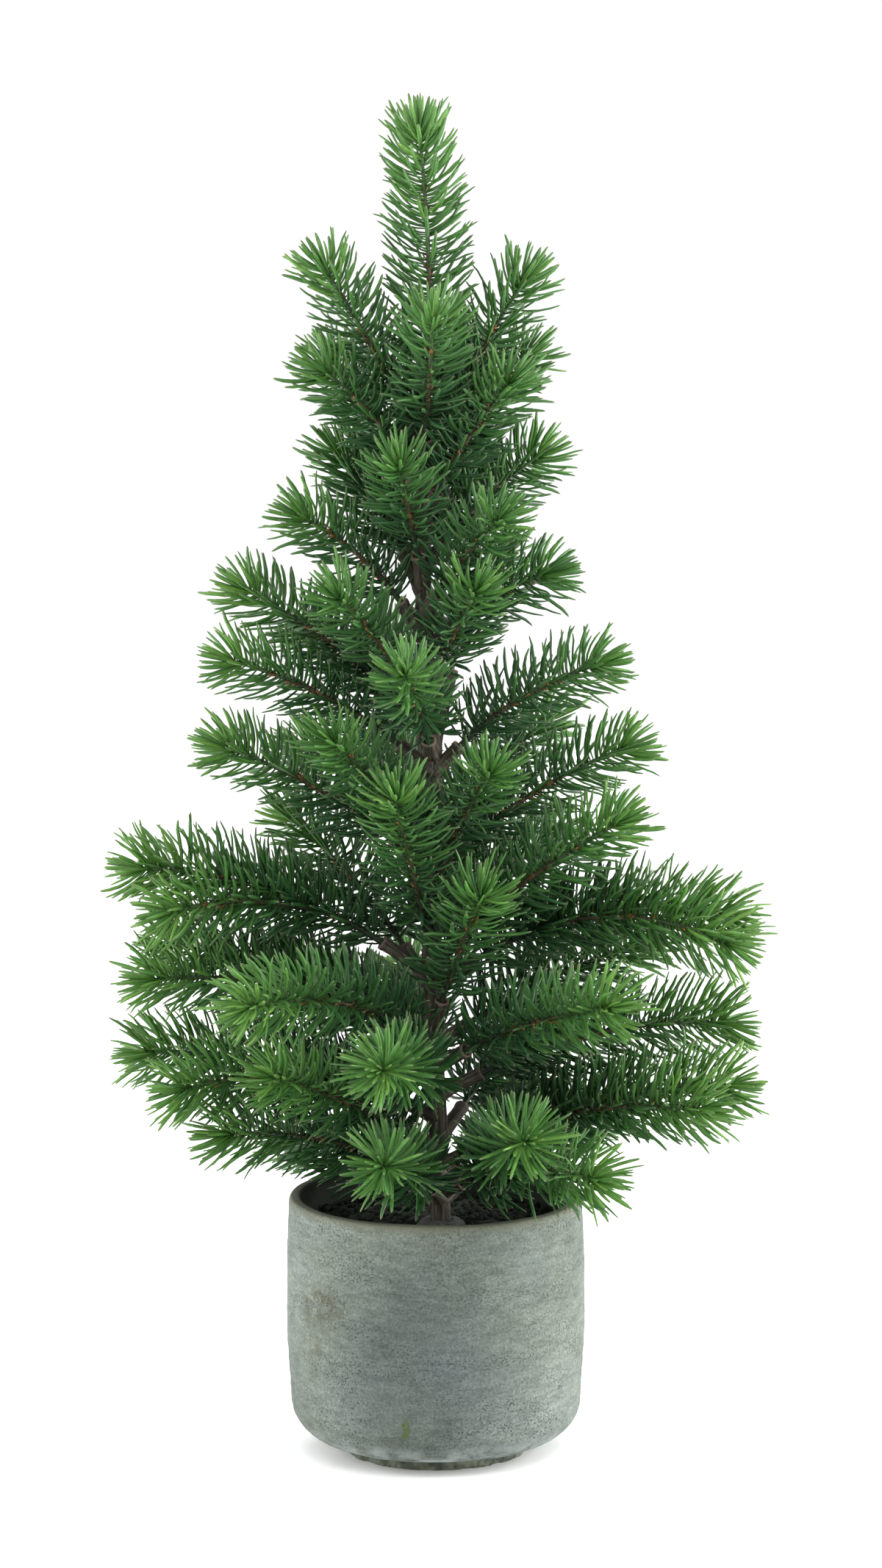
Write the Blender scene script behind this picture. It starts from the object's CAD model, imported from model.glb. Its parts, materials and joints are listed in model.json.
import json
import math

import bpy
import numpy as np
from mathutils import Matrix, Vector, noise


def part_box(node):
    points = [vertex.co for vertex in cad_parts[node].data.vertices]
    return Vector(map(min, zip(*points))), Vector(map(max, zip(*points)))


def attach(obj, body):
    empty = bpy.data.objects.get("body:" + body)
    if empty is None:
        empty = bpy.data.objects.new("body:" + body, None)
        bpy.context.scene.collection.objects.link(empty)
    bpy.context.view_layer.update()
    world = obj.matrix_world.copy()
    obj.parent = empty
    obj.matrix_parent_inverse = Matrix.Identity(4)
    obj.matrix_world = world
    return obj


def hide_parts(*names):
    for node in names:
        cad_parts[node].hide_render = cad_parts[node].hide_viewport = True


# Artificial tabletop fir tree in a cement pot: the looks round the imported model. Shapes are worked
# out in millimetres in the model's frame and turned into metres when a mesh is made.

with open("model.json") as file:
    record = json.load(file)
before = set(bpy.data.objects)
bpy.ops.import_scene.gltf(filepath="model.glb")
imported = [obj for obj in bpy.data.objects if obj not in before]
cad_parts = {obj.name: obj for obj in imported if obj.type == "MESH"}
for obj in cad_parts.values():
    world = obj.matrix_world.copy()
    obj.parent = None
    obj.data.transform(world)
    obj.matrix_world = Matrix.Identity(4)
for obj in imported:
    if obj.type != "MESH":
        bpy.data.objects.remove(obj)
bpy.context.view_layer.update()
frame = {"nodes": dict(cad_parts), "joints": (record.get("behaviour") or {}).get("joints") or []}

MM = 0.001
UP = np.array([0.0, 0.0, 1.0])
GOLDEN_ANGLE = math.radians(137.5)
POTTED_TRUNK = "potted_trunk"
TIERS = ("upper", "middle", "lower")
SEED = 24

# ---- Sizes, in millimetres ----------------------------------------------------------------------

# Needles, by tier where the tiers differ.
NEEDLES_PER_MM = {"upper": 2.5, "middle": 2.4, "lower": 2.7}
NEEDLE_LENGTHS = {"upper": 22.5, "middle": 23.0, "lower": 25.0}
NEEDLE_WIDTH = 1.75
NEEDLE_THICKNESS = 1.0
NEEDLE_LENGTH_VARIES = 1.6
NEEDLE_WIDTH_VARIES = 0.13
NEEDLE_PLACE_VARIES = 0.35
# How near they come to the pot's inside and the moss, and to its rim and outside.
POT_CLEARANCE = 1.5
RIM_CLEARANCE = 1.0

# The fan of needles at a shoot's tip. The shortest is as long as the reach past the stem's end.
# They start on the stretch before that end, and the longest is longer by as much.
TIP_NEEDLES = 19
TIP_NEEDLE_REACH = 15.5
TIP_NEEDLE_STRETCH = 5.5

# Stems, with the balls at their roots and their bud scales.
STEM_RADIUS = 1.4
STEM_TIP_RADIUS = 0.75
BARE_STEM = 5.0
ROOT_BALL_RADIUS = 1.9
SCALES_PER_MM = 0.17
SCALE_LENGTH = 2.9
SCALE_WIDTH = 1.5
SCALE_THICKNESS = 0.8

# A CAD core that reaches this far sideways has a fork, and its points past the clear distance
# sideways are the fork's.
FORK_SPREAD = 8.0
FORK_CLEAR = 5.0
SURFACE_SAMPLES = 6000

TRUNK_FOOT_RADIUS = 4.4
TRUNK_TOP_RADIUS = 3.3
TRUNK_SLICE = 12.0
# Bark relief runs from 0 to 1. The trunk's stands out by this much for each 1 above the level.
BARK_DEPTH = 0.85
BARK_LEVEL = 0.6

SOCKET_RADIUS = 3.0
SOCKET_FLARE = 1.1
SOCKET_BORE_RADIUS = 2.2
SOCKET_MOUTH = 1.5
SOCKET_LIP = 2.4

POT_BELLY_RADIUS = 66.4
POT_BELLY_HEIGHT = 70.0
POT_RIM_RADIUS = 65.0
POT_LOWER_RADIUS = 64.7
POT_BOTTOM_ROUND = 18.0
POT_WALL = 5.0
POT_DRAFT = 3.0
POT_FLOOR = 15.0
RIM_ROUND = 1.3
FOOT_RADIUS = 41.5
FOOT_HEIGHT = 6.0
POT_SIDES = 480

MORTAR_VOXEL = 1.3
MOUND_RADIUS = 15.5
MOSS_CRUMBS = 900
CRUMB_SIZES = (0.6, 2.1)

FLOOR_RADII = (200.0, 1000.0, 4000.0, 16000.0)

# ---- Needle angles, in degrees unless they say radians ------------------------------------------

# A needle leaves its stem at an angle, on a level sprig a little less, but more on its upper side.
LEAVE_ANGLE = 82
LEAVE_LESS_WHEN_LEVEL = 5
LEAVE_MORE_ON_TOP = 13
LEAVE_VARIES = 6
# It closes up towards the sprig's tip along its length.
CLOSE_ANGLE = 50
CLOSE_LESS_WHEN_LEVEL = 14
CLOSE_VARIES = 9
# Some needles flick out again at their ends.
FLICK_SHARE = 0.45
FLICK_ANGLES = (18, 46)
# The fan's widest needle, and how far it closes up again.
TIP_NEEDLE_SPREAD = 66.0
TIP_CLOSE_ANGLE = 24
# How much the turn round the stem and the roll about a needle's own line vary, in radians.
TURN_VARIES = 0.22
ROLL_VARIES = 0.9
# A needle that would meet the pot is turned towards the upper side, by a share each time.
LIFT_TIMES = 5
LIFT_SHARE = 0.45

# ---- Tones, where 0 is the darkest needle and 1 the lightest ------------------------------------

INNER_TONE = 0.24
TONE_TO_TIP = 0.31
TONE_TO_OUTSIDE = 0.22
LEADER_LIGHTER = 0.2

# ---- Lights and camera, in metres, watts, millimetres of lens and degrees -----------------------

TREE_MIDDLE = (0.0, 0.0, 0.3)
POT_MIDDLE = (0.0, 0.0, 0.06)
AIR_STRENGTH = 1.08
# Name, place, what it faces, width and height, power.
LIGHTS = (
    ("side_right", (2.0, -0.3, 0.8), TREE_MIDDLE, (0.8, 1.5), 60),
    ("side_left", (-2.0, -0.4, 0.7), TREE_MIDDLE, (0.8, 1.5), 40),
    ("front_top", (0.3, -1.5, 2.0), TREE_MIDDLE, (1.2, 0.8), 14),
    ("back_top", (-0.2, 1.6, 1.9), TREE_MIDDLE, (1.6, 0.8), 14),
    ("pot_right", (0.9, 0.02, 0.12), POT_MIDDLE, (0.25, 0.25), 3.6),
    ("pot_left", (-0.9, 0.02, 0.12), POT_MIDDLE, (0.25, 0.25), 2.4),
)
CAMERA_PLACE = (0.0023, -2.1, 0.591)
CAMERA_LENS = 110.7
CAMERA_DOWN = 7.91


def corners(node):
    """A CAD node's lowest and highest corners in millimetres."""
    low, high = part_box(node)
    return np.array(low) / MM, np.array(high) / MM


POT_HEIGHT = corners("pot")[1][2]
MOSS_LOW, MOSS_TOP = (corner[2] for corner in corners("moss_topping"))

# ---- Node and material helpers ------------------------------------------------------------------


class Shader:
    """A new material's node tree, with short ways to add the nodes used here."""

    def __init__(self, name, roughness=0.6, specular=0.5):
        self.material = bpy.data.materials.new(name)
        self.material.use_nodes = True
        self.tree = self.material.node_tree
        self.bsdf = self.tree.nodes["Principled BSDF"]
        self.bsdf.inputs["Roughness"].default_value = roughness
        self.bsdf.inputs["Specular IOR Level"].default_value = specular
        self.position = self.add("ShaderNodeTexCoord").outputs["Object"]

    def add(self, kind, **values):
        node = self.tree.nodes.new(kind)
        for key, value in values.items():
            setattr(node, key, value)
        return node

    def link(self, source, target):
        self.tree.links.new(source, target)

    def attribute(self, name):
        return self.add("ShaderNodeAttribute", attribute_name=name).outputs["Fac"]

    def stretched(self, x, y, z):
        """The position with its axes multiplied. A small number draws a texture out along its axis,
        and a large one flattens it."""
        mapping = self.add("ShaderNodeMapping")
        mapping.inputs["Scale"].default_value = (x, y, z)
        self.link(self.position, mapping.inputs["Vector"])
        return mapping.outputs["Vector"]

    def noise(self, scale, detail=4.0, vector=None, roughness=0.55):
        node = self.add("ShaderNodeTexNoise")
        node.inputs["Scale"].default_value = scale
        node.inputs["Detail"].default_value = detail
        node.inputs["Roughness"].default_value = roughness
        self.link(vector or self.position, node.inputs["Vector"])
        return node.outputs["Fac"]

    def ramp(self, factor, stops):
        """A colour ramp through (position, grey value or RGB) stops."""
        node = self.add("ShaderNodeValToRGB")
        elements = node.color_ramp.elements
        while len(elements) < len(stops):
            elements.new(0.5)
        for element, (position, colour) in zip(elements, stops):
            element.position = position
            rgb = colour if isinstance(colour, tuple) else (colour, colour, colour)
            element.color = (*rgb, 1.0)
        self.link(factor, node.inputs["Fac"])
        return node.outputs["Color"]

    def mix(self, factor, below, above, how="MIX"):
        """Colours mixed by a factor; any of the three may be a plain value."""
        node = self.add("ShaderNodeMix", data_type="RGBA", blend_type=how)
        sockets = (node.inputs[0], node.inputs[6], node.inputs[7])
        for socket, value in zip(sockets, (factor, below, above)):
            if isinstance(value, bpy.types.NodeSocket):
                self.link(value, socket)
            elif isinstance(value, tuple):
                socket.default_value = (*value, 1.0)
            else:
                socket.default_value = value
        return node.outputs[2]

    def math(self, operation, a, b):
        node = self.add("ShaderNodeMath", operation=operation)
        for socket, value in zip(node.inputs, (a, b)):
            if isinstance(value, bpy.types.NodeSocket):
                self.link(value, socket)
            else:
                socket.default_value = value
        return node.outputs[0]

    def spot(self, centre, radii):
        """1 at a place given in millimetres, falling to 0 at the radii round it."""
        mapping = self.add("ShaderNodeMapping", vector_type="TEXTURE")
        mapping.inputs["Location"].default_value = [c * MM for c in centre]
        mapping.inputs["Scale"].default_value = [r * MM for r in radii]
        self.link(self.position, mapping.inputs["Vector"])
        gradient = self.add("ShaderNodeTexGradient", gradient_type="SPHERICAL")
        self.link(mapping.outputs["Vector"], gradient.inputs["Vector"])
        return gradient.outputs["Fac"]

    def height(self):
        """The height above the table, in metres."""
        node = self.add("ShaderNodeSeparateXYZ")
        self.link(self.position, node.inputs["Vector"])
        return node.outputs["Z"]

    def from_axis(self):
        """The distance from the pot's vertical axis, in metres."""
        node = self.add("ShaderNodeVectorMath", operation="LENGTH")
        self.link(self.stretched(1, 1, 0), node.inputs[0])
        return node.outputs["Value"]

    def band(self, value, low, high, to_low=0.0, to_high=1.0):
        """A value scaled from one range to another and clamped."""
        node = self.add("ShaderNodeMapRange")
        numbers = {"From Min": low, "From Max": high, "To Min": to_low, "To Max": to_high}
        for name, number in numbers.items():
            node.inputs[name].default_value = number
        self.link(value, node.inputs["Value"])
        return node.outputs["Result"]

    def finish(self, colour, roughness=None, relief=None, depth=0.3):
        """Connects the colour, the roughness and a bump of a depth in millimetres."""
        self.link(colour, self.bsdf.inputs["Base Color"])
        if roughness:
            self.link(roughness, self.bsdf.inputs["Roughness"])
        if relief:
            bump = self.add("ShaderNodeBump")
            bump.inputs["Strength"].default_value = 1.0
            bump.inputs["Distance"].default_value = depth * MM
            self.link(relief, bump.inputs["Height"])
            self.link(bump.outputs["Normal"], self.bsdf.inputs["Normal"])
        return self.material


# ---- Materials ----------------------------------------------------------------------------------


def needle_material():
    s = Shader("needle_green", specular=0.32)
    body = s.ramp(s.attribute("tone"), [
        (0.0, (0.016, 0.055, 0.023)),
        (0.35, (0.031, 0.103, 0.029)),
        (0.65, (0.066, 0.188, 0.035)),
        (1.0, (0.172, 0.345, 0.060)),
    ])
    mottle = s.ramp(s.noise(260.0, 3.0), [(0.3, 0.72), (0.7, 1.0)])
    body = s.mix(1.0, body, mottle, "MULTIPLY")
    tip = s.band(s.attribute("reach"), 0.86, 1.0, 0.0, 0.55)
    body = s.mix(tip, body, (0.130, 0.120, 0.075))
    gloss = s.band(s.noise(600.0, 2.0), 0.3, 0.7, 0.36, 0.5)
    return s.finish(body, gloss, s.noise(700.0, 2.0), 0.03)


def stem_material():
    s = Shader("stem_green_brown")
    along = s.ramp(s.attribute("tone"), [
        (0.0, (0.016, 0.040, 0.016)),
        (0.3, (0.036, 0.040, 0.016)),
        (0.5, (0.095, 0.056, 0.022)),
        (0.68, (0.034, 0.062, 0.018)),
        (1.0, (0.060, 0.150, 0.030)),
    ])
    grain = s.noise(500.0, 3.0, s.stretched(1, 1, 0.4))
    colour = s.mix(1.0, along, s.ramp(grain, [(0.3, 0.55), (0.7, 1.0)]), "MULTIPLY")
    return s.finish(colour, s.band(grain, 0.3, 0.7, 0.45, 0.7), grain, 0.25)


def scale_material():
    s = Shader("bud_scale_brown")
    grain = s.noise(350.0, 3.0)
    colour = s.ramp(grain, [(0.3, (0.120, 0.048, 0.018)), (0.7, (0.380, 0.160, 0.048))])
    return s.finish(colour, s.band(grain, 0.3, 0.7, 0.5, 0.75), s.noise(900.0, 2.0), 0.15)


def bark_material():
    s = Shader("bark_grey_brown")
    ridge = s.ramp(s.attribute("tone"), [
        (0.0, (0.030, 0.026, 0.019)),
        (0.45, (0.088, 0.074, 0.052)),
        (0.8, (0.180, 0.157, 0.118)),
        (1.0, (0.270, 0.170, 0.100)),
    ])
    fibres = s.noise(420.0, 5.0, s.stretched(1, 1, 0.16))
    colour = s.mix(1.0, ridge, s.ramp(fibres, [(0.3, 0.55), (0.7, 1.0)]), "MULTIPLY")
    return s.finish(colour, s.band(fibres, 0.3, 0.7, 0.6, 0.85), fibres, 0.4)


def cement_stains(s, colour, clouds):
    """The damp middle, a bluish patch, a rusty patch with its drip, and a green fleck."""
    damp = s.math("MULTIPLY", s.band(s.spot((-4, -70, 52), (64, 60, 90)), 0.0, 0.6), 0.75)
    colour = s.mix(damp, colour, s.mix(1.0, colour, (0.58, 0.60, 0.62), "MULTIPLY"))
    blue = s.math("MULTIPLY", s.spot((-12, -66, 46), (52, 40, 34)), s.band(clouds, 0.35, 0.6))
    colour = s.mix(s.math("MULTIPLY", blue, 0.45), colour, (0.085, 0.098, 0.110))
    crackle = s.band(s.noise(240.0, 5.0, roughness=0.7), 0.4, 0.62)
    patch = s.band(s.spot((-50, -42, 73), (18, 20, 13)), 0.0, 0.5)
    drip = s.spot((-53, -40, 55), (5, 8, 20))
    rust = s.math("MAXIMUM", s.math("MULTIPLY", patch, crackle), s.math("MULTIPLY", drip, crackle))
    colour = s.mix(s.math("MULTIPLY", rust, 0.9), colour, (0.062, 0.060, 0.036))
    fleck = s.band(s.spot((-13.5, -64, 25), (3, 7, 5.5)), 0.05, 0.35)
    fleck = s.math("MULTIPLY", fleck, s.band(s.noise(300.0, 2.0), 0.42, 0.52))
    return s.mix(fleck, colour, (0.050, 0.078, 0.022))


def cement_edges(s, colour):
    """The worn pale band over the foot, the mossy foot, the stained rim and the dark inside."""
    height = s.height()
    low = s.band(height, (FOOT_HEIGHT + 11) * MM, (FOOT_HEIGHT + 2) * MM)
    worn = s.math("MULTIPLY", low, s.band(s.noise(90.0, 4.0), 0.4, 0.6))
    colour = s.mix(s.math("MULTIPLY", worn, 0.8), colour, (0.300, 0.340, 0.330))
    foot = s.band(height, (FOOT_HEIGHT + 1.5) * MM, (FOOT_HEIGHT - 0.5) * MM, 0.0, 0.9)
    colour = s.mix(foot, colour, s.ramp(s.noise(140.0, 5.0), [
        (0.4, (0.034, 0.044, 0.026)),
        (0.62, (0.150, 0.168, 0.118)),
    ]))
    rim = s.band(height, (POT_HEIGHT - 4.5) * MM, (POT_HEIGHT - 0.5) * MM, 0.0, 0.8)
    colour = s.mix(rim, colour, (0.092, 0.096, 0.062))
    inner_radius = POT_RIM_RADIUS - POT_WALL
    inside = s.band(s.from_axis(), (inner_radius + 2.5) * MM, (inner_radius + 0.5) * MM, 0.0, 0.85)
    inside = s.math("MULTIPLY", inside, s.band(height, 80 * MM, 90 * MM))
    return s.mix(inside, colour, (0.030, 0.038, 0.026))


def cement_material():
    s = Shader("cement_grey_green", specular=0.3)
    clouds = s.noise(16.0, 5.0)
    colour = s.ramp(clouds, [
        (0.28, (0.098, 0.116, 0.100)),
        (0.5, (0.132, 0.152, 0.132)),
        (0.72, (0.164, 0.185, 0.164)),
    ])
    tint = s.ramp(s.noise(24.0, 3.0), [(0.4, (1.0, 1.0, 0.96)), (0.6, (0.98, 1.0, 1.02))])
    colour = s.mix(1.0, colour, tint, "MULTIPLY")
    streaks = s.noise(90.0, 6.0, s.stretched(1, 1, 4.0), 0.72)
    colour = s.mix(1.0, colour, s.ramp(streaks, [(0.36, 0.74), (0.60, 1.11)]), "MULTIPLY")
    sand = s.noise(1100.0, 2.0)
    colour = s.mix(1.0, colour, s.ramp(sand, [(0.3, 0.62), (0.7, 1.30)]), "MULTIPLY")
    pitting = s.noise(900.0, 3.0, s.stretched(1, 1, 1.5), 0.6)
    clusters = s.band(s.noise(38.0, 4.0, s.stretched(1, 1, 2.0)), 0.45, 0.62, 0.1, 0.95)
    pores = s.math("MULTIPLY", s.ramp(pitting, [(0.58, 0.0), (0.64, 1.0)]), clusters)
    colour = s.mix(pores, colour, (0.045, 0.052, 0.046))
    colour = cement_edges(s, cement_stains(s, colour, clouds))
    surface = s.noise(330.0, 5.0, roughness=0.7)
    pitted = s.math("SUBTRACT", surface, s.math("MULTIPLY", pores, 0.8))
    return s.finish(colour, s.band(sand, 0.3, 0.7, 0.78, 0.95), pitted, 0.45)


def mortar_material():
    s = Shader("mortar_grey")
    grit = s.noise(480.0, 5.0)
    colour = s.ramp(grit, [(0.3, (0.030, 0.033, 0.029)), (0.7, (0.135, 0.138, 0.126))])
    return s.finish(colour, s.band(grit, 0.3, 0.7, 0.8, 0.95), grit, 0.8)


def moss_material():
    s = Shader("moss_black_green")
    patches = s.ramp(s.noise(90.0, 5.0), [
        (0.3, (0.006, 0.010, 0.006)),
        (0.55, (0.018, 0.028, 0.014)),
        (0.75, (0.045, 0.040, 0.026)),
    ])
    crumb = s.ramp(s.attribute("tone"), [(0.0, 0.6), (0.6, 0.9), (1.0, 1.7)])
    colour = s.mix(1.0, patches, crumb, "MULTIPLY")
    dull = s.band(s.noise(300.0, 3.0), 0.3, 0.7, 0.8, 0.95)
    return s.finish(colour, dull, s.noise(700.0, 4.0), 0.9)


def steel_material():
    s = Shader("rod_steel", roughness=0.35)
    s.bsdf.inputs["Metallic"].default_value = 1.0
    drawn = s.noise(300.0, 3.0, s.stretched(1, 1, 0.05))
    colour = s.ramp(drawn, [(0.3, (0.42, 0.42, 0.43)), (0.7, (0.60, 0.60, 0.61))])
    return s.finish(colour, s.band(drawn, 0.3, 0.7, 0.28, 0.42))


def floor_material():
    s = Shader("studio_white", roughness=0.9, specular=0.1)
    s.bsdf.inputs["Base Color"].default_value = (0.95, 0.95, 0.95, 1.0)
    return s.material


# ---- Mesh helpers -------------------------------------------------------------------------------


class Shape:
    """Vertices and faces gathered for one mesh, with two attributes that its materials read: tone,
    how light a place is, and reach, how far along its needle."""

    def __init__(self):
        self.vertices = []
        self.faces = []
        self.materials = []
        self.tone = []
        self.reach = []
        self.count = 0

    def add(self, vertices, faces, material=0, tone=0.0, reach=0.0):
        self.vertices.append(vertices)
        for block in faces:
            self.faces.extend((block + self.count).tolist())
            self.materials.extend([material] * len(block))
        self.tone.append(np.broadcast_to(tone, len(vertices)))
        self.reach.append(np.broadcast_to(reach, len(vertices)))
        self.count += len(vertices)

    def to_object(self, name, materials):
        mesh = bpy.data.meshes.new(name)
        mesh.from_pydata((np.concatenate(self.vertices) * MM).tolist(), [], self.faces)
        for material in materials:
            mesh.materials.append(material)
        mesh.polygons.foreach_set("material_index", self.materials)
        mesh.polygons.foreach_set("use_smooth", [True] * len(mesh.polygons))
        for key, values in (("tone", self.tone), ("reach", self.reach)):
            attribute = mesh.attributes.new(key, "FLOAT", "POINT")
            attribute.data.foreach_set("value", np.concatenate(values).astype(np.float32))
        mesh.validate()
        piece = bpy.data.objects.new(name, mesh)
        bpy.context.scene.collection.objects.link(piece)
        return piece


def unit(vectors):
    return vectors / np.linalg.norm(vectors, axis=-1, keepdims=True)


def skin(centres, across, along, radii):
    """A closed tube through rings, each with a centre, two axes and one radius per side."""
    rings, sides = radii.shape
    angle = np.arange(sides) * 2 * math.pi / sides
    round_across = np.cos(angle)[None, :, None] * across[:, None, :]
    round_along = np.sin(angle)[None, :, None] * along[:, None, :]
    ring_points = centres[:, None, :] + radii[:, :, None] * (round_across + round_along)
    vertices = np.concatenate([ring_points.reshape(-1, 3), centres[:1], centres[-1:]])
    step = np.arange(sides)
    nxt = (step + 1) % sides
    base = np.arange(rings - 1)[:, None] * sides
    quads = np.stack([base + step, base + nxt, base + sides + nxt, base + sides + step], -1)
    last = (rings - 1) * sides
    foot = np.stack([np.full(sides, rings * sides), nxt, step], -1)
    head = np.stack([np.full(sides, rings * sides + 1), last + step, last + nxt], -1)
    return vertices, [quads.reshape(-1, 4), foot, head]


def grain(points, size):
    """Smooth noise from -1 to 1 at each point, with features of a size along each axis."""
    scaled = points / np.array(size, float)
    values = [noise.noise(Vector(p)) for p in scaled.reshape(-1, 3)]
    return np.array(values).reshape(points.shape[:-1])


def surface_points(node, rng):
    """Points spread evenly over a CAD node's surface, in millimetres."""
    mesh = frame["nodes"][node].data
    mesh.calc_loop_triangles()
    corner = np.array([v.co for v in mesh.vertices]) / MM
    triangles = corner[np.array([t.vertices for t in mesh.loop_triangles])]
    edge_1 = triangles[:, 1] - triangles[:, 0]
    edge_2 = triangles[:, 2] - triangles[:, 0]
    area = np.linalg.norm(np.cross(edge_1, edge_2), axis=1)
    chosen = rng.choice(len(area), SURFACE_SAMPLES, p=area / area.sum())
    a, b = rng.random((2, SURFACE_SAMPLES))
    flip = a + b > 1
    a[flip], b[flip] = 1 - a[flip], 1 - b[flip]
    return triangles[chosen, 0] + a[:, None] * edge_1[chosen] + b[:, None] * edge_2[chosen]


# ---- Shoot lines, read from the CAD cores -------------------------------------------------------


def middle_line(points, start, heading):
    """The smooth curve, in the upright plane of a heading, from start through a shoot's middle."""
    offset = points - start
    out, up = offset @ heading, offset[:, 2]
    reach = np.hypot(out, up)
    powers = np.stack([reach, reach**2, reach**3], 1)
    to_out = np.linalg.lstsq(powers, out, rcond=None)[0]
    to_up = np.linalg.lstsq(powers, up, rcond=None)[0]
    r = np.arange(0.0, reach.max(), 1.0)[:, None]
    powers = np.hstack([r, r**2, r**3])
    return start + (powers @ to_out)[:, None] * heading + (powers @ to_up)[:, None] * UP


def shoot_lines(points, root, heading):
    """The lines of a sprig's shoots: one from the root, and a second where the sprig forks."""
    side = np.cross(UP, heading)
    offset = points - root
    out, across = offset @ heading, offset @ side
    widest = across[np.abs(across).argmax()]
    if abs(widest) < FORK_SPREAD:
        return [middle_line(points, root, heading)]
    to_fork = np.sign(widest)
    main = middle_line(points[across * to_fork <= 0], root, heading)
    fork = across * to_fork > FORK_CLEAR
    reach = np.linalg.norm(offset, axis=1)
    farthest = reach[fork].max()
    # A straight line back from the fork's tip through its middle shows where it leaves the main.
    tip = fork & (reach > farthest - 1)
    halfway = fork & (np.abs(reach - 0.65 * farthest) < 2)
    out_tip, across_tip = out[tip].mean(), across[tip].mean()
    out_half, across_half = out[halfway].mean(), across[halfway].mean()
    slope = (out_tip - out_half) / (across_tip - across_half)
    leaves_at = out_half - across_half * slope
    fork_heading = unit(slope * to_fork * heading + to_fork * side)
    start = main[np.abs((main - root) @ heading - leaves_at).argmin()]
    fork_side = np.cross(UP, fork_heading)
    beyond = (points - start) @ fork_heading > 3
    outer_half = ((points - start) @ fork_side) * to_fork >= 0
    return [main, middle_line(points[fork & beyond & outer_half], start, fork_heading)]


class Line:
    """A shoot's line with its length, and places and directions along it."""

    def __init__(self, points):
        self.points = points
        steps = np.linalg.norm(np.diff(points, axis=0), axis=1)
        self.at = np.concatenate([[0.0], np.cumsum(steps)])
        self.length = self.at[-1]
        self.tangents = unit(np.gradient(points, self.at, axis=0))
        self.flatness = math.hypot(*self.tangents.mean(0)[:2])

    def point(self, s):
        return np.stack([np.interp(s, self.at, self.points[:, k]) for k in range(3)], -1)

    def tangent(self, s):
        return unit(np.stack([np.interp(s, self.at, self.tangents[:, k]) for k in range(3)], -1))

    def frames(self, s):
        """At each distance: the direction, the upper side's direction and the sideways one."""
        t = self.tangent(s)
        reference = UP if self.flatness > 0.35 else np.array([0.0, -1.0, 0.0])
        upper = unit(reference - (t @ reference)[:, None] * t)
        return t, upper, np.cross(t, upper)


# ---- Needles ------------------------------------------------------------------------------------

RING_AT = np.array([0.0, 0.14, 0.34, 0.58, 0.80, 0.95])
RING_WIDTH = np.array([0.62, 0.76, 0.94, 1.0, 0.88, 0.58])
CURVE_STEPS = 12


def needle_paths(base, tangent, outward, length, leave, close, flick):
    """Each needle's centre line: it leaves the stem at an angle, closes up towards the sprig's tip
    and may flick out again at its end. Angles are in radians from the stem's direction."""
    f = (np.arange(CURVE_STEPS) + 0.5) / CURVE_STEPS
    flicked = flick[:, None] * np.clip(f - 0.55, 0, 1) ** 2 * 5
    angle = leave[:, None] - close[:, None] * f + flicked
    step = np.cos(angle)[..., None] * tangent[:, None] + np.sin(angle)[..., None] * outward[:, None]
    walk = np.cumsum(step * (length / CURVE_STEPS)[:, None, None], axis=1)
    return np.concatenate([base[:, None], base[:, None] + walk], axis=1)


def in_pot(paths):
    """Which needles come within a millimetre or so of the pot's wall or its moss."""
    radius = np.hypot(paths[..., 0], paths[..., 1])
    height = paths[..., 2]
    inner = POT_RIM_RADIUS - POT_WALL - POT_CLEARANCE
    wall = (radius > inner) & (radius < POT_BELLY_RADIUS + RIM_CLEARANCE)
    in_wall = wall & (height < POT_HEIGHT + RIM_CLEARANCE)
    in_moss = (radius < POT_RIM_RADIUS) & (height < MOSS_TOP + POT_CLEARANCE)
    return (in_wall | in_moss).any(axis=1)


def bent_down(paths, joint):
    """Where the paths are when their sprig is bent to its lower limit."""
    root = np.array(joint["pos_m"]) / MM
    axis = np.array(joint["axis"])
    angle = math.radians(joint["range_deg"][0])
    offset = paths - root
    along = (offset @ axis)[..., None] * axis
    turned = (offset - along) * math.cos(angle) + np.cross(axis, offset) * math.sin(angle)
    return root + along + turned


def blocked(paths, joint):
    """Which needles would run into the pot, either at rest or with the sprig bent down."""
    return in_pot(paths) | in_pot(bent_down(paths, joint))


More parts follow.
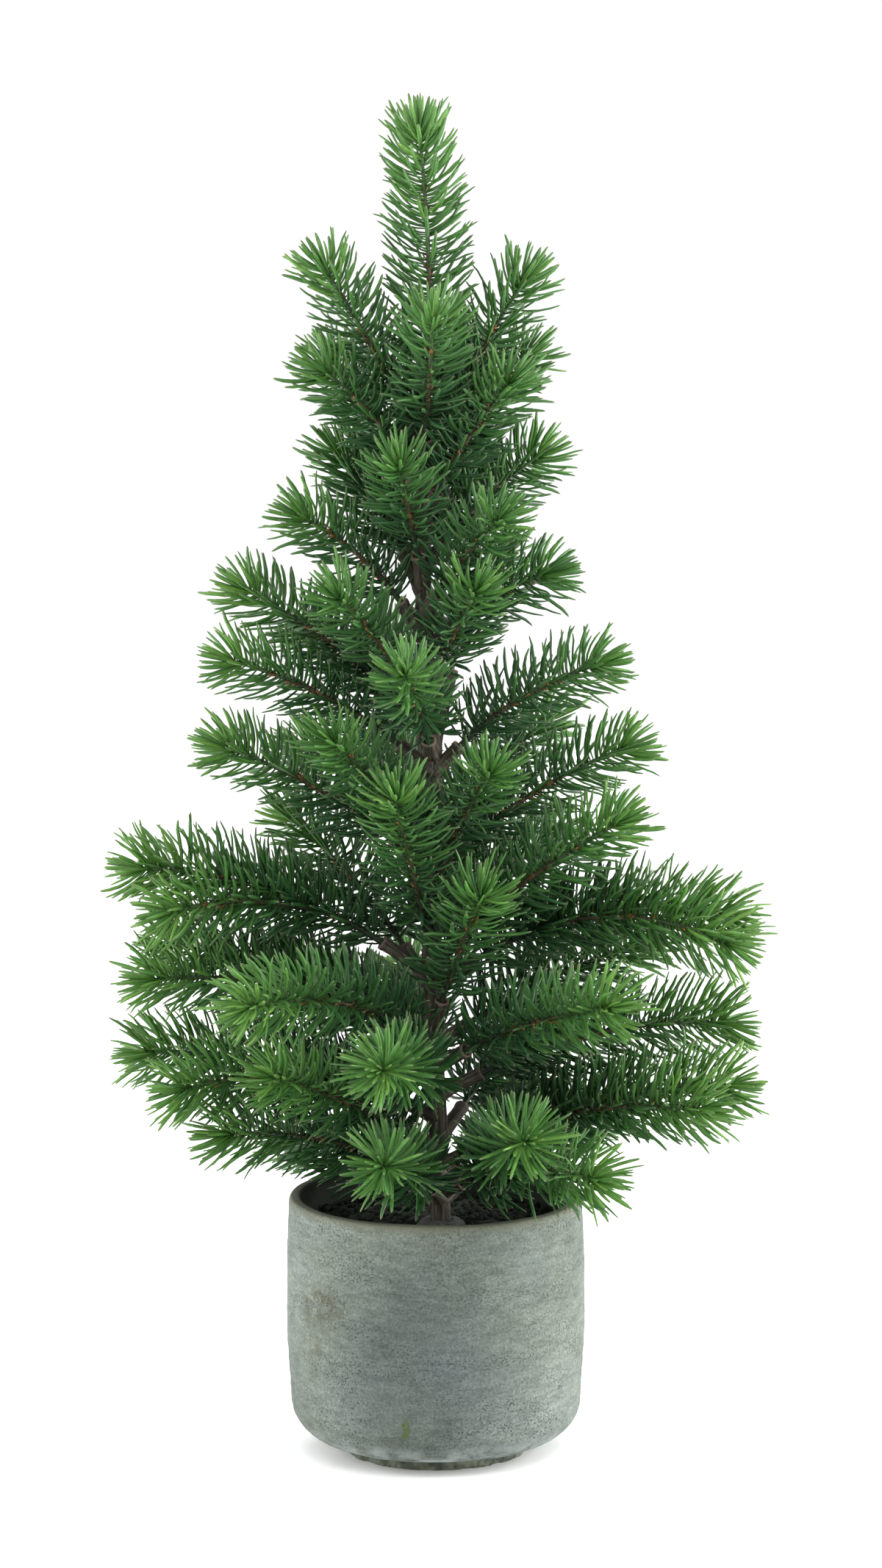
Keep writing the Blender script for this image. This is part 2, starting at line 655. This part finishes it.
def add_needles(shape, paths, side, width, thickness, roll, tone, material=0):
    """Adds one flattened pointed needle along each path, twisted a little along its length."""
    at = np.arange(CURVE_STEPS + 1) / CURVE_STEPS
    count = len(paths)
    low = np.searchsorted(at, RING_AT, side="right") - 1
    part = ((RING_AT - at[low]) * CURVE_STEPS)[None, :, None]
    centre = paths[:, low] * (1 - part) + paths[:, low + 1] * part
    forward = unit(paths[:, low + 1] - paths[:, low])
    flat = unit(side[:, None] - (forward * side[:, None]).sum(-1, keepdims=True) * forward)
    thick = np.cross(forward, flat)
    turn = (roll[:, None] + 0.35 * RING_AT[None])[..., None]
    wide = flat * np.cos(turn) + thick * np.sin(turn)
    deep = thick * np.cos(turn) - flat * np.sin(turn)
    half_width = (width[:, None] * RING_WIDTH / 2)[..., None]
    half_depth = (thickness * np.minimum(RING_WIDTH * 1.1, 1.0) / 2)[None, :, None]
    ring = [centre + wide * half_width, centre + deep * half_depth,
            centre - wide * half_width, centre - deep * half_depth]
    rings = np.stack(ring, axis=2).reshape(count, -1, 3)
    vertices = np.concatenate([rings, paths[:, -1:]], axis=1)
    per_needle = vertices.shape[1]
    ring_count = len(RING_AT)
    k = np.arange(4)
    nxt = (k + 1) % 4
    row = np.arange(ring_count - 1)[:, None] * 4
    quads = np.stack([row + k, row + nxt, row + 4 + nxt, row + 4 + k], -1).reshape(-1, 4)
    foot = np.array([[3, 2, 1, 0]])
    last = (ring_count - 1) * 4
    tips = np.stack([last + k, last + nxt, np.full(4, per_needle - 1)], -1)
    start = (np.arange(count) * per_needle)[:, None, None]
    faces = [(block[None] + start).reshape(-1, block.shape[1]) for block in (quads, foot, tips)]
    reach = np.append(np.repeat(RING_AT, 4), 1.0)
    shape.add(vertices.reshape(-1, 3), faces, material,
              np.repeat(tone, per_needle), np.tile(reach, count))


def sprig_tone(base, along, rng):
    """How light each needle is: lighter towards the sprig's tip and outside the crown."""
    from_trunk = np.hypot(base[:, 0], base[:, 1])
    outside = np.clip((from_trunk - 20) / 90, 0, 1)
    tone = INNER_TONE + TONE_TO_TIP * along**1.8 + TONE_TO_OUTSIDE * outside
    return np.clip(tone + rng.normal(0, 0.07, len(base)), 0, 1)


def stem_needles(line, tier, rng):
    """How the needles along a shoot's stem grow: an array for each thing that add_brush names."""
    stem = line.length - TIP_NEEDLE_REACH
    count = int((stem - BARE_STEM) * NEEDLES_PER_MM[tier])
    s = np.linspace(BARE_STEM, stem - 0.5, count) + rng.normal(0, NEEDLE_PLACE_VARIES, count)
    along = np.clip((s - BARE_STEM) / (stem - BARE_STEM), 0, 1)
    tangent, upper, side = line.frames(s)
    level = line.flatness
    turn = np.arange(count) * GOLDEN_ANGLE + rng.normal(0, TURN_VARIES, count)
    turn = turn - 0.3 * level * np.sin(turn)
    flattened = 0.5 + 0.5 * level
    outward = unit(np.cos(turn)[:, None] * upper * flattened + np.sin(turn)[:, None] * side)
    leave = LEAVE_ANGLE - LEAVE_LESS_WHEN_LEVEL * level + LEAVE_MORE_ON_TOP * level * np.cos(turn)
    leave = np.radians(leave + rng.normal(0, LEAVE_VARIES, count)) * (1 - 0.24 * along**6)
    close = np.radians(rng.normal(CLOSE_ANGLE - CLOSE_LESS_WHEN_LEVEL * level, CLOSE_VARIES, count))
    flicks = rng.random(count) < FLICK_SHARE
    flick = np.radians(np.where(flicks, rng.uniform(*FLICK_ANGLES, count), 0.0))
    length = rng.normal(NEEDLE_LENGTHS[tier], NEEDLE_LENGTH_VARIES, count)
    length = length * np.clip(0.78 + 1.6 * along, 0, 1) * (1 - 0.12 * along**3)
    base = line.point(s) + outward * STEM_RADIUS * 0.5
    return base, tangent, upper, outward, leave, close, flick, length, along


def tip_needles(line, rng):
    """The same for the fan at the tip, which points more forward the nearer it is to the end."""
    spread = np.linspace(0.08, 1, TIP_NEEDLES)
    s = line.length - TIP_NEEDLE_REACH - 0.3 - TIP_NEEDLE_STRETCH * spread**2
    tangent, upper, side = line.frames(s)
    turn = np.arange(TIP_NEEDLES) * GOLDEN_ANGLE
    outward = np.cos(turn)[:, None] * upper + np.sin(turn)[:, None] * side
    base = line.point(s) + outward * 0.3
    leave = np.radians(TIP_NEEDLE_SPREAD * spread)
    close = np.radians(rng.normal(4, 4, TIP_NEEDLES) + TIP_CLOSE_ANGLE * spread)
    length = TIP_NEEDLE_REACH + TIP_NEEDLE_STRETCH * spread**1.5 + rng.normal(0, 1.0, TIP_NEEDLES)
    along = np.full(TIP_NEEDLES, 0.94)
    return base, tangent, upper, outward, leave, close, np.zeros(TIP_NEEDLES), length, along


def add_brush(shape, line, tier, joint, rng):
    """The needles along one shoot and at its tip. Those that would meet the pot are turned up, and
    left out where that isn't enough."""
    pairs = zip(stem_needles(line, tier, rng), tip_needles(line, rng))
    joined = [np.concatenate(pair) for pair in pairs]
    base, tangent, upper, outward, leave, close, flick, length, along = joined
    lift = np.zeros(len(base))
    paths = needle_paths(base, tangent, outward, length, leave, close, flick)
    for _ in range(LIFT_TIMES):
        lift = lift + LIFT_SHARE * blocked(paths, joint)
        raised = unit(outward + lift[:, None] * upper)
        paths = needle_paths(base, tangent, raised, length, leave, close, flick)
    keep = ~blocked(paths, joint)
    width = rng.normal(NEEDLE_WIDTH, NEEDLE_WIDTH_VARIES, keep.sum())
    roll = rng.normal(0, ROLL_VARIES, keep.sum())
    side = np.cross(tangent[keep], raised[keep])
    tone = sprig_tone(base[keep], along[keep], rng) + LEADER_LIGHTER * (1 - line.flatness)
    add_needles(shape, paths[keep], side, width, NEEDLE_THICKNESS, roll, tone)


def add_scales(shape, line, rng):
    """Short brown bud scales that lie against the stem along its middle."""
    stem = line.length - TIP_NEEDLE_REACH
    count = int(stem * SCALES_PER_MM)
    s = rng.uniform(0.2, 0.8, count) * stem
    tangent, upper, side = line.frames(s)
    turn = rng.uniform(0, 2 * math.pi, count)
    outward = np.cos(turn)[:, None] * upper + np.sin(turn)[:, None] * side
    leave = np.radians(rng.normal(38, 8, count))
    base = line.point(s) + outward * STEM_RADIUS * 0.6
    length = rng.normal(SCALE_LENGTH, 0.5, count)
    paths = needle_paths(base, tangent, outward, length, leave, leave * 0.6, np.zeros(count))
    width = np.full(count, SCALE_WIDTH)
    add_needles(shape, paths, np.cross(tangent, outward), width, SCALE_THICKNESS,
                np.zeros(count), np.zeros(count), material=2)


def add_stem(shape, line, from_root):
    """The moulded stem, which starts in a ball at the sprig's root or in another stem at a fork."""
    end = line.length - TIP_NEEDLE_REACH
    s = np.concatenate([[0.0, 0.8, 1.6, 2.6], np.arange(4.5, end, 2.5), [end, end + 0.8]])
    radius = STEM_RADIUS + (STEM_TIP_RADIUS - STEM_RADIUS) * s / end
    radius[-1] = 0.3
    tangent, upper, side = line.frames(s)
    centres = line.point(s)
    tone = np.clip(s / end, 0, 1)
    if from_root:
        back = np.array([-1.75, -1.25, -0.6])
        centres = np.vstack([centres[0] + back[:, None] * tangent[0], centres])
        upper = np.vstack([np.repeat(upper[:1], 3, 0), upper])
        side = np.vstack([np.repeat(side[:1], 3, 0), side])
        ball = np.sqrt(ROOT_BALL_RADIUS**2 - np.append(back, [0.0, 0.8]) ** 2)
        radius = np.concatenate([ball, radius[2:]])
        tone = np.append(np.zeros(3), tone)
    sides = 10
    ring, corner = np.arange(len(radius))[:, None], np.arange(sides)[None]
    knots = 1 + 0.08 * np.sin(ring * 2.3 + corner * 1.9)
    vertices, faces = skin(centres, upper, side, radius[:, None] * knots)
    shape.add(vertices, faces, 1, np.concatenate([np.repeat(tone, sides), tone[:1], tone[-1:]]))


def make_sprig(joint, materials, rng):
    """One sprig: stems, needles and bud scales, riding on its own body."""
    sprig = joint["child"]
    root = np.array(joint["pos_m"]) / MM
    heading = np.array([-joint["axis"][1], joint["axis"][0], 0.0])
    lines = [Line(points) for points in shoot_lines(surface_points(sprig, rng), root, heading)]
    shape = Shape()
    for number, line in enumerate(lines):
        add_stem(shape, line, number == 0)
        add_scales(shape, line, rng)
        add_brush(shape, line, sprig.split("_")[0], joint, rng)
    piece = shape.to_object(f"{sprig}_brush", materials)
    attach(piece, sprig)
    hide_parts(sprig)
    return lines[0]


# ---- Trunk and sockets --------------------------------------------------------------------------


def trunk_line(rng):
    """The trunk's smoothed centre line from its foot to its top."""
    points = surface_points("trunk", rng)
    low, high = points[:, 2].min(), points[:, 2].max()
    z = np.arange(low + 8, high - 6, TRUNK_SLICE)
    centre = [points[np.abs(points[:, 2] - level) < TRUNK_SLICE].mean(0)[:2] for level in z]
    heights = np.linspace(low, high, 400)
    smooth = [np.convolve(np.interp(heights, z, column), np.ones(15) / 15, "same")
              for column in np.array(centre).T]
    for column, raw in zip(smooth, np.array(centre).T):
        column[:8] = raw[0]
        column[-8:] = raw[-1]
    return np.stack([*smooth, heights], -1)


def bark(theta, along, seed):
    """Bark relief from 0 to 1: long ridges round a stem, broken up along it."""
    place = np.stack([np.cos(theta) * 3.0 + seed, np.sin(theta) * 3.0, along * 0.05], -1)
    fine = np.stack([np.cos(theta) * 6.0, np.sin(theta) * 6.0 + seed, along * 0.30], -1)
    ridges = 1 - np.abs(grain(place, (1.0, 1.0, 1.0))) * 2.2
    return np.clip(0.78 * ridges + 0.22 * (grain(fine, (1.0, 1.0, 1.0)) + 0.5), 0, 1)


def make_trunk(line, material):
    sides = 56
    rings = len(line)
    share = np.linspace(0, 1, rings)
    radius = TRUNK_FOOT_RADIUS + (TRUNK_TOP_RADIUS - TRUNK_FOOT_RADIUS) * share
    radius = radius * np.clip(((1 - share) * 60 + 0.15), 0, 1) ** 0.5
    theta = np.broadcast_to(np.arange(sides) * 2 * math.pi / sides, (rings, sides))
    relief = bark(theta, np.broadcast_to(line[:, 2:3], (rings, sides)), 7.0)
    across = np.tile([1.0, 0.0, 0.0], (rings, 1))
    along = np.tile([0.0, 1.0, 0.0], (rings, 1))
    radii = radius[:, None] + BARK_DEPTH * (relief - BARK_LEVEL)
    vertices, faces = skin(line, across, along, radii)
    shape = Shape()
    shape.add(vertices, faces, 0, np.append(relief.ravel() * 0.8, [0.3, 0.3]))
    piece = shape.to_object("trunk_bark", [material])
    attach(piece, POTTED_TRUNK)
    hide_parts("trunk")


def add_socket(shape, line, trunk, seed):
    """A socket from the trunk's middle to its mouth, with the cup that holds a sprig's root."""
    root, out = line.points[0], line.tangents[0]
    away = trunk[:, None] - root
    along = np.clip(-(away @ out), 0, 60)
    gap = np.linalg.norm(away[:, 0] + along * out, axis=1)
    length = along[gap.argmin(), 0]
    lip_rings = 5
    lip_start = SOCKET_MOUTH - SOCKET_LIP
    lip_s = np.linspace(lip_start + 0.3, SOCKET_MOUTH, lip_rings)
    outer_s = np.concatenate([np.linspace(-length, lip_start, 24), lip_s])
    from_trunk = outer_s + length
    radius = SOCKET_RADIUS + SOCKET_FLARE * np.exp(-np.clip(from_trunk - 3.0, 0, None) / 2.6)
    radius[-lip_rings:] += 0.3
    radius[-1] -= 0.15
    bore = SOCKET_BORE_RADIUS
    cup_s = np.array([SOCKET_MOUTH - 0.1, SOCKET_MOUTH - 0.8, 0.0, -1.2, -1.9])
    cup_radius = np.array([bore + 0.1, bore, bore, 1.75, 1.0])
    s = np.concatenate([outer_s, cup_s])
    rows = len(s)
    sides = 28
    theta = np.broadcast_to(np.arange(sides) * 2 * math.pi / sides, (rows, sides))
    relief = bark(theta, np.broadcast_to(s[:, None], theta.shape), seed)
    lip = len(outer_s) - lip_rings
    depth = np.concatenate([np.full(lip, 0.6), np.full(lip_rings, 0.3), np.zeros(len(cup_s))])
    radii = np.concatenate([radius, cup_radius])[:, None] + depth[:, None] * (relief - BARK_LEVEL)
    side = unit(np.cross(UP, out))
    upper = np.cross(out, side)
    centres = root + s[:, None] * out
    vertices, faces = skin(centres, np.tile(side, (rows, 1)), np.tile(upper, (rows, 1)), radii)
    tone = relief * 0.8
    edge = slice(len(outer_s) - 2, len(outer_s) + 2)
    tone[edge] = 0.75 + 0.25 * relief[edge]
    shape.add(vertices, faces, 0, np.append(tone.ravel(), [0.3, 0.1]))


def make_sockets(tier, lines, trunk, material):
    shape = Shape()
    for number, line in enumerate(lines):
        add_socket(shape, line, trunk, 3.7 * number)
    piece = shape.to_object(f"{tier}_socket_stubs", [material])
    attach(piece, POTTED_TRUNK)
    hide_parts(f"{tier}_sockets")


# ---- Pot, mortar and moss -----------------------------------------------------------------------


def cavity_radius(height):
    """The pot's inner radius, which narrows a little towards its floor."""
    return POT_RIM_RADIUS - POT_WALL - POT_DRAFT * (POT_HEIGHT - height) / (POT_HEIGHT - POT_FLOOR)


def arc(centre, radius, start, end, count):
    """Points (radius, height) on an arc between two angles in degrees."""
    a = np.radians(np.linspace(start, end, count))
    return np.stack([centre[0] + radius * np.cos(a), centre[1] + radius * np.sin(a)], -1)


def pot_profile():
    """The pot's outline from the middle of its foot, up the outside and down to its inner floor."""
    round_r = POT_LOWER_RADIUS - POT_BOTTOM_ROUND
    round_z = FOOT_HEIGHT + POT_BOTTOM_ROUND
    wall_z = np.linspace(round_z + 1, POT_HEIGHT - RIM_ROUND, 84)
    above = (wall_z - POT_BELLY_HEIGHT) / (POT_HEIGHT - POT_BELLY_HEIGHT)
    below = (POT_BELLY_HEIGHT - wall_z) / (POT_BELLY_HEIGHT - round_z)
    to_rim = (POT_BELLY_RADIUS - POT_RIM_RADIUS) * above**2
    to_lower = (POT_BELLY_RADIUS - POT_LOWER_RADIUS) * below**2
    wall_r = POT_BELLY_RADIUS - np.where(above > 0, to_rim, to_lower)
    inner_z = np.linspace(POT_HEIGHT - RIM_ROUND - 1, POT_FLOOR, 30)
    return np.concatenate([
        np.stack([np.linspace(1, FOOT_RADIUS - 1.2, 8), np.zeros(8)], -1),
        [[FOOT_RADIUS - 0.4, 0.1]],
        np.stack([np.full(6, FOOT_RADIUS), np.linspace(0.5, FOOT_HEIGHT, 6)], -1),
        np.stack([np.linspace(FOOT_RADIUS + 1, round_r, 3), np.full(3, FOOT_HEIGHT)], -1),
        arc((round_r, round_z), POT_BOTTOM_ROUND, -88, 0, 34),
        np.stack([wall_r, wall_z], -1),
        arc((POT_RIM_RADIUS - RIM_ROUND, POT_HEIGHT - RIM_ROUND), RIM_ROUND, 15, 90, 5),
        arc((POT_RIM_RADIUS - POT_WALL + RIM_ROUND, POT_HEIGHT - RIM_ROUND), RIM_ROUND, 90, 180, 6),
        np.stack([cavity_radius(inner_z), inner_z], -1),
        np.stack([np.linspace(cavity_radius(POT_FLOOR) - 4, 1, 6), np.full(6, POT_FLOOR)], -1),
    ])


def make_pot(material):
    """The turned pot, uneven on its outside, with chips out of its foot and a wavy rim."""
    profile = pot_profile()
    rings = len(profile)
    theta = np.arange(POT_SIDES) * 2 * math.pi / POT_SIDES
    radius = np.repeat(profile[:, :1], POT_SIDES, 1)
    height = np.repeat(profile[:, 1:], POT_SIDES, 1)
    place = np.stack([radius * np.cos(theta), radius * np.sin(theta), height], -1)
    outer = np.arange(rings) <= profile[:, 1].argmax()
    outside = outer & (profile[:, 0] > FOOT_RADIUS + 0.5)
    uneven = 0.4 * grain(place, (30, 30, 22)) + 0.22 * grain(place, (9, 9, 3))
    uneven = uneven + 0.10 * grain(place, (2.5, 2.5, 2))
    radius = radius + uneven * outside[:, None]
    foot = outer & (profile[:, 1] < FOOT_HEIGHT - 0.5) & (profile[:, 0] > FOOT_RADIUS - 2)
    chips = 2.4 * np.clip(grain(place, (7, 7, 5)), 0, 1) + 0.7 * grain(place, (2.0, 2.0, 1.6))
    chips = chips * (1.3 - height / FOOT_HEIGHT)
    radius = radius - chips * foot[:, None]
    top = np.clip((height - POT_HEIGHT + 3) / 3, 0, 1)
    plan = np.stack([place[..., 0], place[..., 1], height * 0], -1)
    lift = 0.35 * grain(plan, (26, 26, 1))
    centres = np.stack([np.zeros(rings), np.zeros(rings), profile[:, 1]], -1)
    across = np.tile([1.0, 0.0, 0.0], (rings, 1))
    along = np.tile([0.0, 1.0, 0.0], (rings, 1))
    vertices, faces = skin(centres, across, along, radius)
    vertices[:-2, 2] += (lift * top).ravel()
    shape = Shape()
    shape.add(vertices, faces)
    piece = shape.to_object("pot_cement", [material])
    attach(piece, POTTED_TRUNK)
    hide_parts("pot")


def make_mortar(material):
    """The mortar's CAD shape, remeshed finely and roughened."""
    piece = frame["nodes"]["mortar_fill"].copy()
    piece.data = piece.data.copy()
    piece.name = "mortar_rough"
    piece.parent = None
    bpy.context.scene.collection.objects.link(piece)
    remesh = piece.modifiers.new("remesh", "REMESH")
    remesh.mode = "VOXEL"
    remesh.voxel_size = MORTAR_VOXEL * MM
    bpy.context.view_layer.update()
    evaluated = piece.evaluated_get(bpy.context.evaluated_depsgraph_get())
    mesh = bpy.data.meshes.new_from_object(evaluated)
    piece.modifiers.clear()
    piece.data = mesh
    co = np.array([v.co for v in mesh.vertices]) / MM
    normal = np.array([v.normal for v in mesh.vertices])
    top = np.clip((co[:, 2] - MOSS_LOW + 1) / 2, 0, 1)
    rough = (0.9 * grain(co, (6, 6, 6)) + 0.5 * grain(co, (2.2, 2.2, 2.2)) - 0.4) * top
    co = co + normal * rough[:, None]
    mesh.vertices.foreach_set("co", (co * MM).ravel().astype(np.float32))
    mesh.polygons.foreach_set("use_smooth", [True] * len(mesh.polygons))
    mesh.materials.clear()
    mesh.materials.append(material)
    mesh.update()
    for key in list(piece.keys()):
        del piece[key]
    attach(piece, POTTED_TRUNK)
    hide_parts("mortar_fill")


def lump(rng, sides=6, rows=4):
    """A small irregular crumb about the origin, of radius near 1."""
    lat = np.linspace(-1.15, 1.15, rows)
    centres = np.stack([np.zeros(rows), np.zeros(rows), np.sin(lat)], -1)
    across = np.tile([1.0, 0.0, 0.0], (rows, 1))
    along = np.tile([0.0, 1.0, 0.0], (rows, 1))
    radii = np.cos(lat)[:, None] * rng.uniform(0.65, 1.3, (rows, sides))
    return skin(centres, across, along, radii)


def make_moss(trunk, material, rng):
    """The dark topping: an uneven ring round the mortar's mound, strewn with crumbs."""
    centre = trunk[np.abs(trunk[:, 2] - MOSS_TOP).argmin(), :2]
    rings, sides = 44, 150
    theta = np.arange(sides) * 2 * math.pi / sides
    reach = np.stack([np.cos(theta), np.sin(theta)], -1)
    outer = cavity_radius(MOSS_TOP) - 0.4
    inner_edge = centre + reach * MOUND_RADIUS
    outer_edge = reach * outer
    share = np.linspace(0, 1, rings)[:, None, None]
    plan = inner_edge * (1 - share) + outer_edge * share
    place = np.concatenate([plan, np.full((rings, sides, 1), MOSS_TOP)], -1)
    bumps = 1.3 * grain(place, (9, 9, 9)) + 0.9 * grain(place, (3.2, 3.2, 3.2)) - 0.4
    top = place + bumps[..., None] * UP
    floor = np.concatenate([plan[[-1, 0]], np.full((2, sides, 1), MOSS_LOW + 0.2)], -1)
    loop = np.concatenate([top, floor, top[:1]])[:-1]
    rows = len(loop)
    step, nxt = np.arange(sides), (np.arange(sides) + 1) % sides
    row = np.arange(rows)[:, None] * sides
    after = (np.arange(rows)[:, None] + 1) % rows * sides
    quads = np.stack([row + step, after + step, after + nxt, row + nxt], -1).reshape(-1, 4)
    shape = Shape()
    shape.add(loop.reshape(-1, 3), [quads], 0, 0.25)
    for _ in range(MOSS_CRUMBS):
        angle = rng.uniform(0, 2 * math.pi)
        out = math.sqrt(rng.uniform(MOUND_RADIUS**2, (outer - 2) ** 2))
        level = MOSS_TOP + rng.uniform(-0.4, 0.9)
        spot = np.array([out * math.cos(angle), out * math.sin(angle), level])
        vertices, faces = lump(rng)
        size = rng.uniform(*CRUMB_SIZES)
        squash = np.array([1.0, rng.uniform(0.6, 1.0), rng.uniform(0.45, 0.9)])
        shape.add(vertices * squash * size + spot, faces, 0, rng.uniform(0, 1) ** 2)
    piece = shape.to_object("moss_crumbs", [material])
    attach(piece, POTTED_TRUNK)
    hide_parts("moss_topping")


# ---- Stage --------------------------------------------------------------------------------------


def make_floor():
    """A wide round white floor."""
    sides = 96
    radius = np.array(FLOOR_RADII)
    theta = np.arange(sides) * 2 * math.pi / sides
    rings = radius[:, None, None] * np.stack([np.cos(theta), np.sin(theta), theta * 0], -1)
    vertices = np.concatenate([rings.reshape(-1, 3), [[0.0, 0.0, 0.0]]])
    step, nxt = np.arange(sides), (np.arange(sides) + 1) % sides
    row = np.arange(len(radius) - 1)[:, None] * sides
    quads = np.stack([row + step, row + sides + step, row + sides + nxt, row + nxt], -1)
    middle = np.stack([np.full(sides, len(vertices) - 1), step, nxt], -1)
    shape = Shape()
    shape.add(vertices, [quads.reshape(-1, 4), middle])
    shape.to_object("studio_floor", [floor_material()])


def add_light(name, place, aim, size, power):
    light = bpy.data.lights.new(name, "AREA")
    light.shape = "RECTANGLE"
    light.size, light.size_y = size
    light.energy = power
    lamp = bpy.data.objects.new(name, light)
    lamp.location = place
    direction = Vector(aim) - Vector(place)
    lamp.rotation_euler = direction.to_track_quat("-Z", "Y").to_euler()
    bpy.context.scene.collection.objects.link(lamp)


def make_lights():
    world = bpy.data.worlds.new("studio_air")
    world.use_nodes = True
    background = world.node_tree.nodes["Background"]
    background.inputs["Color"].default_value = (1.0, 1.0, 1.0, 1.0)
    background.inputs["Strength"].default_value = AIR_STRENGTH
    bpy.context.scene.world = world
    for light in LIGHTS:
        add_light(*light)


def make_camera():
    """A long lens in front of the tree, a little above its middle and looking slightly down."""
    data = bpy.data.cameras.new("camera")
    data.lens = CAMERA_LENS
    data.clip_end = 20.0
    camera = bpy.data.objects.new("camera", data)
    camera.location = CAMERA_PLACE
    camera.rotation_euler = (math.radians(90 - CAMERA_DOWN), 0.0, 0.0)
    bpy.context.scene.collection.objects.link(camera)
    bpy.context.scene.camera = camera


# ---- Making everything --------------------------------------------------------------------------


def make_tree():
    rng = np.random.default_rng(SEED)
    bark_finish = bark_material()
    sprig_materials = [needle_material(), stem_material(), scale_material()]
    trunk = trunk_line(rng)
    lines = {tier: [] for tier in TIERS}
    for joint in frame["joints"]:
        tier = joint["child"].split("_")[0]
        lines[tier].append(make_sprig(joint, sprig_materials, rng))
    for tier in TIERS:
        make_sockets(tier, lines[tier], trunk, bark_finish)
    make_trunk(trunk, bark_finish)
    make_pot(cement_material())
    make_mortar(mortar_material())
    make_moss(trunk, moss_material(), rng)
    rod = frame["nodes"]["trunk_core_rod"]
    rod.data.materials.clear()
    rod.data.materials.append(steel_material())


make_camera()
make_lights()
make_floor()
make_tree()
bpy.context.scene.view_settings.view_transform = "Standard"
